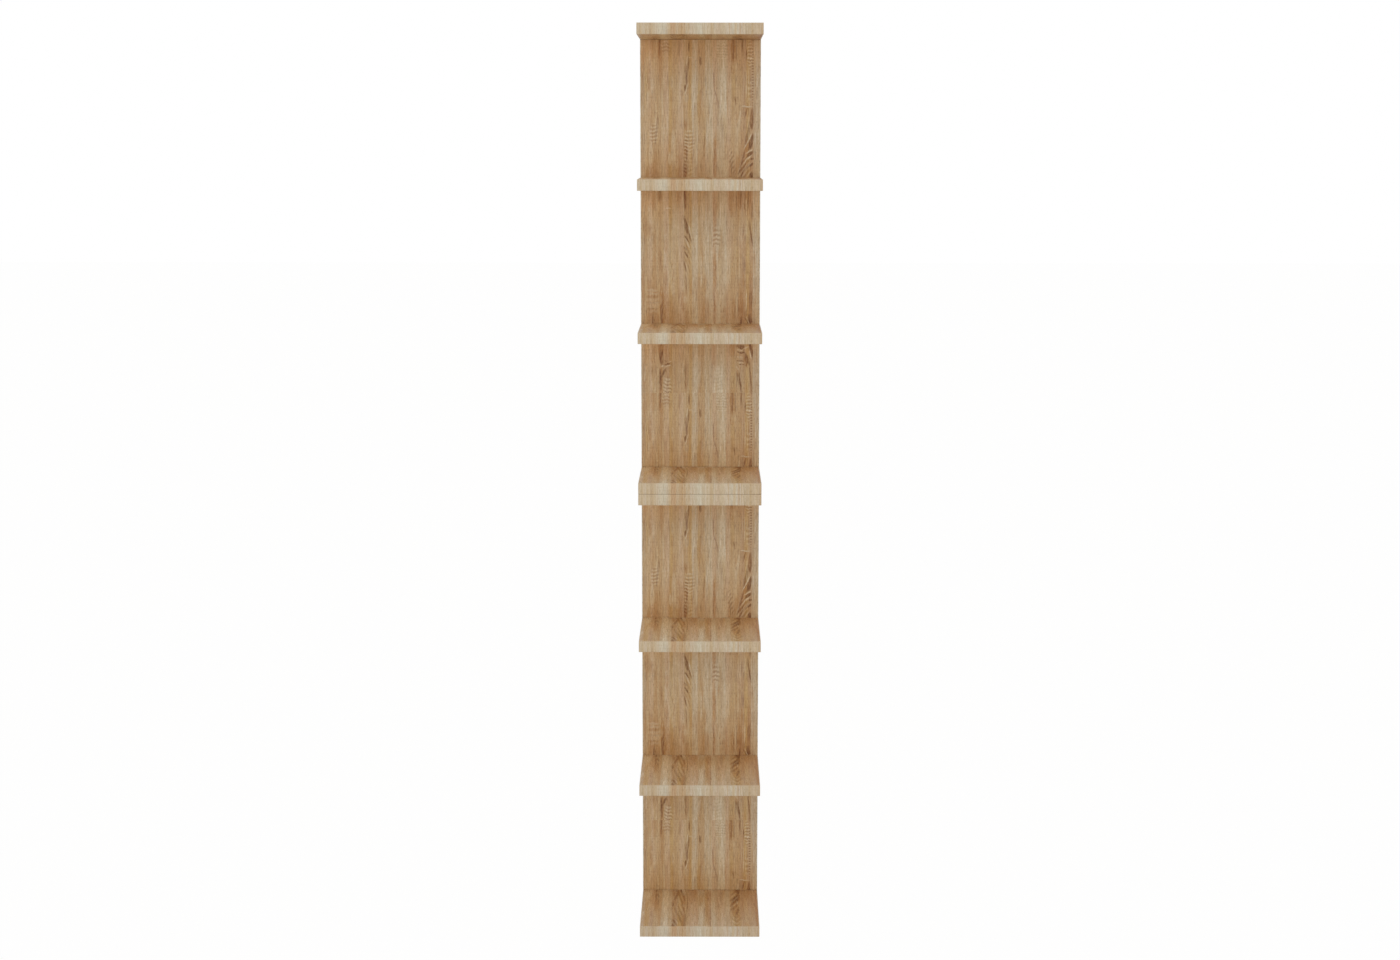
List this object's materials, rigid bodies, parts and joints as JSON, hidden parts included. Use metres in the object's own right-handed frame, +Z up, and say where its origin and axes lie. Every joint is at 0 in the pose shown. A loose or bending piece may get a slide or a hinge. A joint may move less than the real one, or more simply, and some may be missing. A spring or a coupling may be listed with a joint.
{
  "type": "wall shelf",
  "caption": "Tall, narrow wall shelf: stacked open modules with square boards standing forward from a full-width back panel, in light limed-oak board.",
  "frame": {"origin": "on the wall plane, midway between the two points that the upper module hangs on", "axes": "+Z up, +Y into the wall, so the open front faces -Y, and +X to the right as seen from the front"},
  "size_m": [0.2, 0.2, 1.5003],
  "materials": {
    "faced_board": "light limed-oak melamine facing, satin matt, on particle board",
    "edge_band": "thin band printed with the same light oak, satin matt",
    "zinc_steel": "bright zinc plate",
    "beech": "bare beech",
    "hanger_steel": "zinc-plated sheet steel"
  },
  "bodies": {
    "root": {"lower_back_panel": "faced_board", "lower_back_panel_band_left": "edge_band", "lower_back_panel_band_right": "edge_band", "lower_bottom_board": "faced_board", "lower_bottom_board_band": "edge_band", "lower_bottom_board_screw_left": "zinc_steel", "lower_bottom_board_screw_right": "zinc_steel", "lower_bottom_board_dowel": "beech", "lower_shelf_1": "faced_board", "lower_shelf_1_band": "edge_band", "lower_shelf_1_screw_left": "zinc_steel", "lower_shelf_1_screw_right": "zinc_steel", "lower_shelf_1_dowel": "beech", "lower_shelf_2": "faced_board", "lower_shelf_2_band": "edge_band", "lower_shelf_2_screw_left": "zinc_steel", "lower_shelf_2_screw_right": "zinc_steel", "lower_shelf_2_dowel": "beech", "lower_top_board": "faced_board", "lower_top_board_band": "edge_band", "lower_top_board_screw_left": "zinc_steel", "lower_top_board_screw_right": "zinc_steel", "lower_top_board_dowel": "beech", "lower_hanger_left": "hanger_steel", "lower_hanger_left_screw_top": "zinc_steel", "lower_hanger_left_screw_bottom": "zinc_steel", "lower_hanger_right": "hanger_steel", "lower_hanger_right_screw_top": "zinc_steel", "lower_hanger_right_screw_bottom": "zinc_steel", "locating_dowel_left": "beech", "locating_dowel_right": "beech", "upper_back_panel": "faced_board", "upper_back_panel_band_left": "edge_band", "upper_back_panel_band_right": "edge_band", "upper_bottom_board": "faced_board", "upper_bottom_board_band": "edge_band", "upper_bottom_board_screw_left": "zinc_steel", "upper_bottom_board_screw_right": "zinc_steel", "upper_bottom_board_dowel": "beech", "upper_shelf_1": "faced_board", "upper_shelf_1_band": "edge_band", "upper_shelf_1_screw_left": "zinc_steel", "upper_shelf_1_screw_right": "zinc_steel", "upper_shelf_1_dowel": "beech", "upper_shelf_2": "faced_board", "upper_shelf_2_band": "edge_band", "upper_shelf_2_screw_left": "zinc_steel", "upper_shelf_2_screw_right": "zinc_steel", "upper_shelf_2_dowel": "beech", "upper_top_board": "faced_board", "upper_top_board_band": "edge_band", "upper_top_board_screw_left": "zinc_steel", "upper_top_board_screw_right": "zinc_steel", "upper_top_board_dowel": "beech", "upper_hanger_left": "hanger_steel", "upper_hanger_left_screw_top": "zinc_steel", "upper_hanger_left_screw_bottom": "zinc_steel", "upper_hanger_right": "hanger_steel", "upper_hanger_right_screw_top": "zinc_steel", "upper_hanger_right_screw_bottom": "zinc_steel"}
  },
  "joints": []
}
